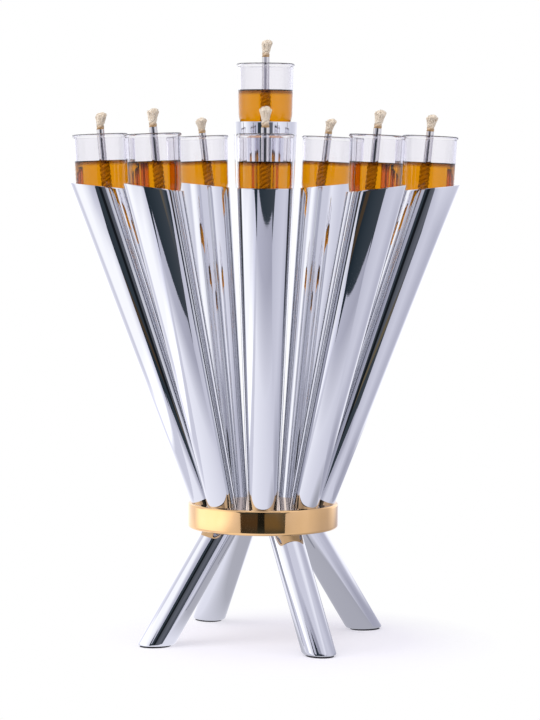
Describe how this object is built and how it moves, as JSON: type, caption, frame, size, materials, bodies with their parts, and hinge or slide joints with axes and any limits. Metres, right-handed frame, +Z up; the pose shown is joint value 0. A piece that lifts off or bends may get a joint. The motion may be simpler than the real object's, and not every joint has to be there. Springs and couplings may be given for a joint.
{
  "type": "oil hanukkiah",
  "caption": "Oil-lamp hanukkiah: polished tapering tubes fan out of a gold disc on splayed legs, each tube with a lift-out glass oil cup and cotton wick.",
  "frame": {"origin": "on the floor under the middle of the disc", "axes": "+Z up, the front arm points towards -Y, +X to the right"},
  "size_m": [0.2072, 0.2088, 0.3226],
  "materials": {
    "silver": "polished mirror finish",
    "gold": "polished pale gold plating",
    "glass": "clear blown glass",
    "wick_metal": "polished thin tube",
    "cotton": "twisted cream cotton cord",
    "rubber": "matt dark foot pad",
    "steel": "plain fastener steel"
  },
  "bodies": {
    "stand": {"hub_disc": "gold", "arm_tube_1": "silver", "arm_tube_2": "silver", "arm_tube_3": "silver", "arm_tube_4": "silver", "arm_tube_5": "silver", "arm_tube_6": "silver", "arm_tube_7": "silver", "arm_tube_8": "silver", "shamash_tube": "silver", "leg_1": "silver", "leg_2": "silver", "leg_3": "silver", "leg_4": "silver", "foot_pad_1": "rubber", "foot_pad_2": "rubber", "foot_pad_3": "rubber", "foot_pad_4": "rubber", "tube_screw_1": "steel", "tube_screw_2": "steel", "tube_screw_3": "steel", "tube_screw_4": "steel", "tube_screw_5": "steel", "tube_screw_6": "steel", "tube_screw_7": "steel", "tube_screw_8": "steel", "tube_screw_9": "steel", "leg_stud_1": "steel", "leg_stud_2": "steel", "leg_stud_3": "steel", "leg_stud_4": "steel"},
    "arm_1_cup_body": {"arm_cup_1": "glass"},
    "arm_1_wick_body": {"arm_wick_tube_1": "wick_metal", "arm_cord_1": "cotton"},
    "arm_2_cup_body": {"arm_cup_2": "glass"},
    "arm_2_wick_body": {"arm_wick_tube_2": "wick_metal", "arm_cord_2": "cotton"},
    "arm_3_cup_body": {"arm_cup_3": "glass"},
    "arm_3_wick_body": {"arm_wick_tube_3": "wick_metal", "arm_cord_3": "cotton"},
    "arm_4_cup_body": {"arm_cup_4": "glass"},
    "arm_4_wick_body": {"arm_wick_tube_4": "wick_metal", "arm_cord_4": "cotton"},
    "arm_5_cup_body": {"arm_cup_5": "glass"},
    "arm_5_wick_body": {"arm_wick_tube_5": "wick_metal", "arm_cord_5": "cotton"},
    "arm_6_cup_body": {"arm_cup_6": "glass"},
    "arm_6_wick_body": {"arm_wick_tube_6": "wick_metal", "arm_cord_6": "cotton"},
    "arm_7_cup_body": {"arm_cup_7": "glass"},
    "arm_7_wick_body": {"arm_wick_tube_7": "wick_metal", "arm_cord_7": "cotton"},
    "arm_8_cup_body": {"arm_cup_8": "glass"},
    "arm_8_wick_body": {"arm_wick_tube_8": "wick_metal", "arm_cord_8": "cotton"},
    "shamash_cup_body": {"shamash_cup": "glass"},
    "shamash_wick_body": {"shamash_wick_tube": "wick_metal", "shamash_cord": "cotton"}
  },
  "joints": [
    {"name": "arm_1_cup_lift", "type": "slide", "parent": "stand", "child": "arm_1_cup_body", "axis": [0, 0, 1], "range_m": [0, 0.05]},
    {"name": "arm_1_wick_lift", "type": "slide", "parent": "arm_1_cup_body", "child": "arm_1_wick_body", "axis": [0, 0, 1], "range_m": [0, 0.05]},
    {"name": "arm_2_cup_lift", "type": "slide", "parent": "stand", "child": "arm_2_cup_body", "axis": [0.0419, 0, 0.9991], "range_m": [0, 0.05]},
    {"name": "arm_2_wick_lift", "type": "slide", "parent": "arm_2_cup_body", "child": "arm_2_wick_body", "axis": [0.0906, 0, 0.9959], "range_m": [0, 0.05]},
    {"name": "arm_3_cup_lift", "type": "slide", "parent": "stand", "child": "arm_3_cup_body", "axis": [0.0419, 0, 0.9991], "range_m": [0, 0.05]},
    {"name": "arm_3_wick_lift", "type": "slide", "parent": "arm_3_cup_body", "child": "arm_3_wick_body", "axis": [0.0906, 0, 0.9959], "range_m": [0, 0.05]},
    {"name": "arm_4_cup_lift", "type": "slide", "parent": "stand", "child": "arm_4_cup_body", "axis": [0.0419, 0, 0.9991], "range_m": [0, 0.05]},
    {"name": "arm_4_wick_lift", "type": "slide", "parent": "arm_4_cup_body", "child": "arm_4_wick_body", "axis": [0.1132, 0, 0.9936], "range_m": [0, 0.05]},
    {"name": "arm_5_cup_lift", "type": "slide", "parent": "stand", "child": "arm_5_cup_body", "axis": [0, 0, 1], "range_m": [0, 0.05]},
    {"name": "arm_5_wick_lift", "type": "slide", "parent": "arm_5_cup_body", "child": "arm_5_wick_body", "axis": [0, 0, 1], "range_m": [0, 0.05]},
    {"name": "arm_6_cup_lift", "type": "slide", "parent": "stand", "child": "arm_6_cup_body", "axis": [-0.0419, 0, 0.9991], "range_m": [0, 0.05]},
    {"name": "arm_6_wick_lift", "type": "slide", "parent": "arm_6_cup_body", "child": "arm_6_wick_body", "axis": [-0.1132, 0, 0.9936], "range_m": [0, 0.05]},
    {"name": "arm_7_cup_lift", "type": "slide", "parent": "stand", "child": "arm_7_cup_body", "axis": [-0.0419, 0, 0.9991], "range_m": [0, 0.05]},
    {"name": "arm_7_wick_lift", "type": "slide", "parent": "arm_7_cup_body", "child": "arm_7_wick_body", "axis": [-0.0906, 0, 0.9959], "range_m": [0, 0.05]},
    {"name": "arm_8_cup_lift", "type": "slide", "parent": "stand", "child": "arm_8_cup_body", "axis": [-0.0419, 0, 0.9991], "range_m": [0, 0.05]},
    {"name": "arm_8_wick_lift", "type": "slide", "parent": "arm_8_cup_body", "child": "arm_8_wick_body", "axis": [-0.0906, 0, 0.9959], "range_m": [0, 0.05]},
    {"name": "shamash_cup_lift", "type": "slide", "parent": "stand", "child": "shamash_cup_body", "axis": [0, 0, 1], "range_m": [0, 0.05]},
    {"name": "shamash_wick_lift", "type": "slide", "parent": "shamash_cup_body", "child": "shamash_wick_body", "axis": [0, 0, 1], "range_m": [0, 0.05]}
  ]
}
